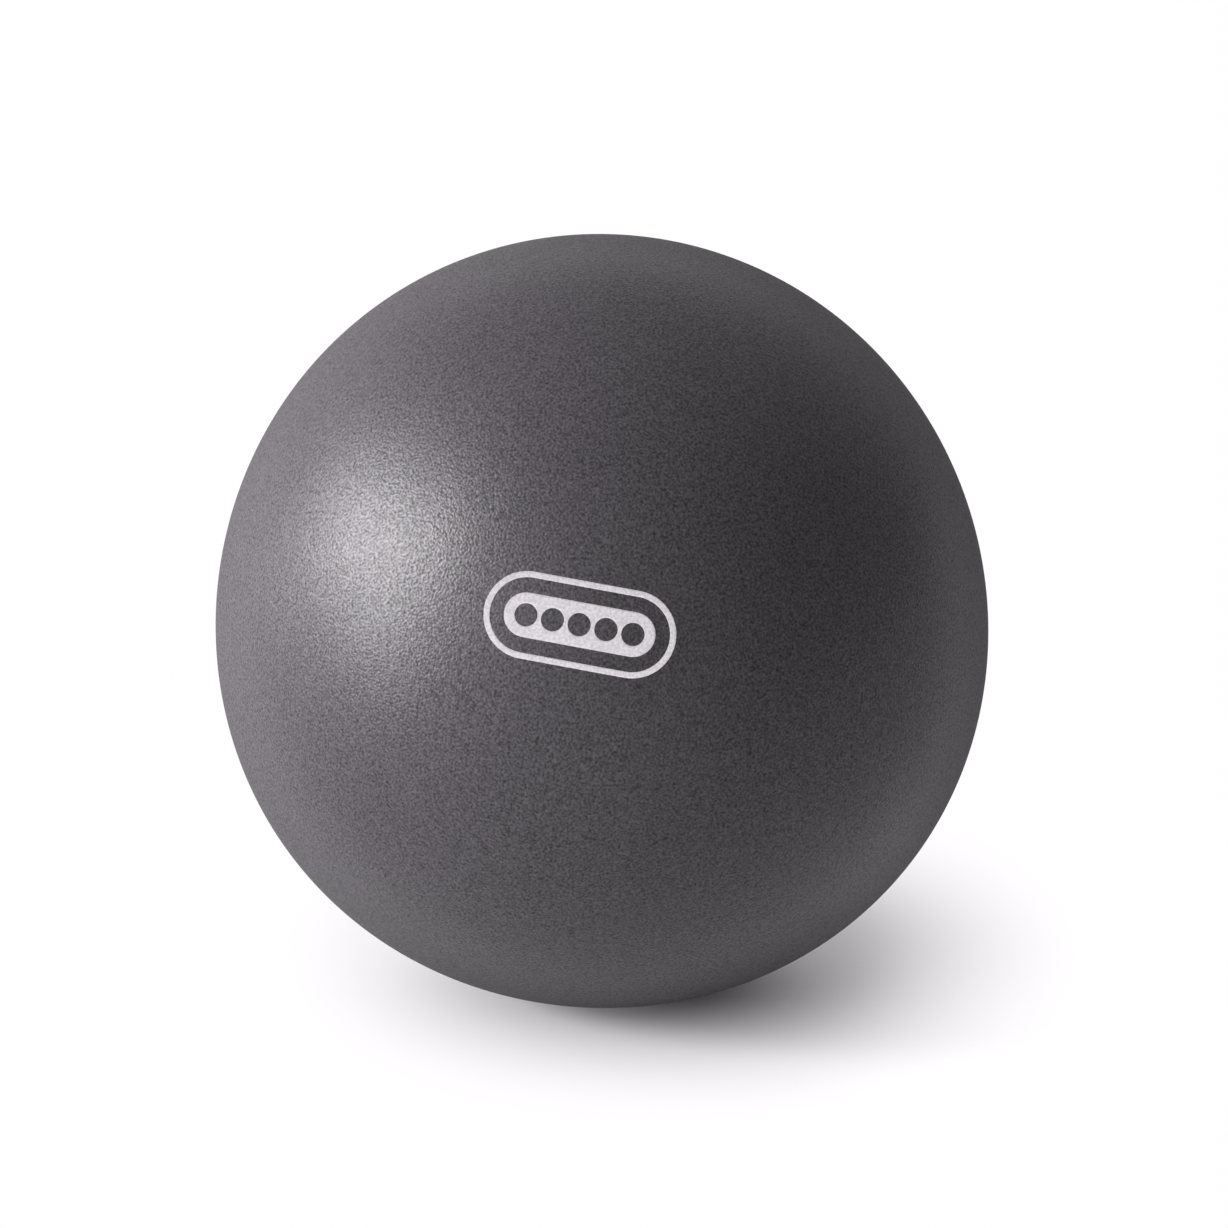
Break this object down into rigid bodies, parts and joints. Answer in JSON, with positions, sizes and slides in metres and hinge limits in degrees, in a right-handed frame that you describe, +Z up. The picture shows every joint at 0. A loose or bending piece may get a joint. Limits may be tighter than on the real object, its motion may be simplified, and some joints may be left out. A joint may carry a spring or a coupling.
{
  "type": "exercise ball",
  "caption": "Soft inflatable exercise ball with a pebbled matt skin, a bonded valve insert closed by a push-in plug that pulls out, and a printed badge.",
  "frame": {"origin": "centre of the flat patch that the ball rests on, on the floor below the ball's centre", "axes": "+Z up through the ball's centre, -Y towards the side with the badge, +Y towards the side with the valve"},
  "size_m": [0.2199, 0.22, 0.2174],
  "materials": {
    "skin": "matt, fine pebbled grain, soft sheen",
    "valve_insert": "smooth satin",
    "plug": "smooth satin",
    "ink": "flat screen-printed ink"
  },
  "bodies": {
    "ball": {"ball_skin": "skin", "valve_body": "valve_insert", "printed_badge": "ink"},
    "plug": {"valve_plug": "plug"}
  },
  "joints": [
    {"name": "plug_pull", "type": "slide", "parent": "ball", "child": "plug", "axis": [0, 0.9511, -0.309], "range_m": [0, 0.03]}
  ]
}
